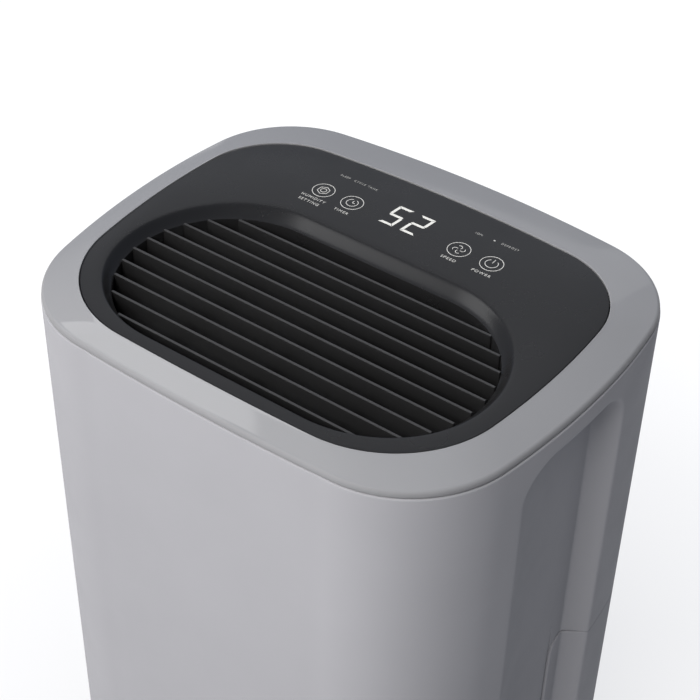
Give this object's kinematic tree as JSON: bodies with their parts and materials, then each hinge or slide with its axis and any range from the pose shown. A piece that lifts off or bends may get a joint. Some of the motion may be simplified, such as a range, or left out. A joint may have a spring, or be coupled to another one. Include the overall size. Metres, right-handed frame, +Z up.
{
  "type": "dehumidifier",
  "caption": "Portable compressor dehumidifier with a sunken top air outlet, touch controls, side grip channels and a water tank that slides out of the back.",
  "frame": {"origin": "on the floor under the middle of the cabinet, at the bottom centre of the whole part", "axes": "+Z up; the front faces -Y and the water tank slides out along +Y; +X is the cabinet's right side seen from the front"},
  "size_m": [0.292, 0.243, 0.4403],
  "materials": {
    "shell_grey": "satin",
    "frame_grey": "satin",
    "deck_black": "satin",
    "window_black": "satin",
    "mark_white": "matte",
    "base_dark": "matte",
    "board_green": "satin",
    "module_black": "satin",
    "spring_brass": "polished",
    "mesh_grey": "matte",
    "inner_grey": "matte",
    "float_white": "matte",
    "magnet_black": "matte",
    "steel": "satin",
    "rubber_black": "matte",
    "coil_aluminium": "satin",
    "copper": "satin",
    "compressor_black": "satin",
    "motor_paint": "satin",
    "fan_black": "satin",
    "sheet_steel": "satin",
    "capacitor_grey": "satin",
    "caster_black": "satin"
  },
  "bodies": {
    "cabinet": {"front_shell": "shell_grey", "rear_cover": "shell_grey", "top_frame": "frame_grey", "control_deck": "deck_black", "outlet_grille": "deck_black", "display_window": "window_black", "touch_keys": "mark_white", "base_pan": "base_dark", "bulkhead": "base_dark", "control_board": "board_green", "digit_module": "module_black", "terminal_cover": "module_black", "touch_springs": "spring_brass", "drip_tray": "inner_grey", "fan_scroll": "inner_grey", "inlet_ring": "inner_grey", "outlet_duct": "inner_grey", "reed_switch": "float_white", "humidity_sensor": "float_white", "cover_screws": "steel", "base_screws": "steel", "deck_screws": "steel", "cord_gland": "rubber_black", "compressor_feet": "rubber_black", "evaporator": "coil_aluminium", "condenser": "coil_aluminium", "coil_pipes": "copper", "suction_pipe": "copper", "discharge_pipe": "copper", "compressor": "compressor_black", "accumulator": "compressor_black", "fan_motor": "motor_paint", "power_box": "sheet_steel", "run_capacitor": "capacitor_grey"},
    "filter": {"intake_grille": "shell_grey", "filter_frame": "base_dark", "filter_mesh": "mesh_grey"},
    "tank": {"water_tank": "shell_grey", "tank_lid": "inner_grey", "float_pin": "steel"},
    "float": {"tank_float": "float_white", "float_magnet": "magnet_black"},
    "stopper": {"drain_stopper": "rubber_black"},
    "fan": {"fan_wheel": "fan_black", "fan_shaft": "steel"},
    "fork_fl": {"caster_fork_fl": "caster_black"},
    "wheel_fl": {"caster_wheel_fl": "caster_black"},
    "fork_fr": {"caster_fork_fr": "caster_black"},
    "wheel_fr": {"caster_wheel_fr": "caster_black"},
    "fork_bl": {"caster_fork_bl": "caster_black"},
    "wheel_bl": {"caster_wheel_bl": "caster_black"},
    "fork_br": {"caster_fork_br": "caster_black"},
    "wheel_br": {"caster_wheel_br": "caster_black"}
  },
  "joints": [
    {"name": "tank_slide", "type": "slide", "parent": "cabinet", "child": "tank", "axis": [0, 1, 0], "range_m": [0, 0.13]},
    {"name": "float_hinge", "type": "hinge", "parent": "tank", "child": "float", "pos_m": [-0.07, 0.084, 0.202], "axis": [-1, 0, 0], "range_deg": [0, 14]},
    {"name": "filter_slide", "type": "slide", "parent": "cabinet", "child": "filter", "axis": [0, 1, 0], "range_m": [0, 0.04]},
    {"name": "stopper_slide", "type": "slide", "parent": "cabinet", "child": "stopper", "axis": [0, 1, 0], "range_m": [0, 0.02]},
    {"name": "fan_spin", "type": "hinge", "parent": "cabinet", "child": "fan", "pos_m": [0, -0.035, 0.326], "axis": [0, 1, 0], "continuous": true},
    {"name": "caster_swivel_fl", "type": "hinge", "parent": "cabinet", "child": "fork_fl", "pos_m": [-0.1, -0.078, 0.028], "axis": [0, 0, 1], "continuous": true},
    {"name": "caster_roll_fl", "type": "hinge", "parent": "fork_fl", "child": "wheel_fl", "pos_m": [-0.1, -0.072, 0.01], "axis": [1, 0, 0], "continuous": true},
    {"name": "caster_swivel_fr", "type": "hinge", "parent": "cabinet", "child": "fork_fr", "pos_m": [0.1, -0.078, 0.028], "axis": [0, 0, 1], "continuous": true},
    {"name": "caster_roll_fr", "type": "hinge", "parent": "fork_fr", "child": "wheel_fr", "pos_m": [0.1, -0.072, 0.01], "axis": [1, 0, 0], "continuous": true},
    {"name": "caster_swivel_bl", "type": "hinge", "parent": "cabinet", "child": "fork_bl", "pos_m": [-0.1, 0.076, 0.028], "axis": [0, 0, 1], "continuous": true},
    {"name": "caster_roll_bl", "type": "hinge", "parent": "fork_bl", "child": "wheel_bl", "pos_m": [-0.1, 0.082, 0.01], "axis": [1, 0, 0], "continuous": true},
    {"name": "caster_swivel_br", "type": "hinge", "parent": "cabinet", "child": "fork_br", "pos_m": [0.1, 0.076, 0.028], "axis": [0, 0, 1], "continuous": true},
    {"name": "caster_roll_br", "type": "hinge", "parent": "fork_br", "child": "wheel_br", "pos_m": [0.1, 0.082, 0.01], "axis": [1, 0, 0], "continuous": true}
  ]
}
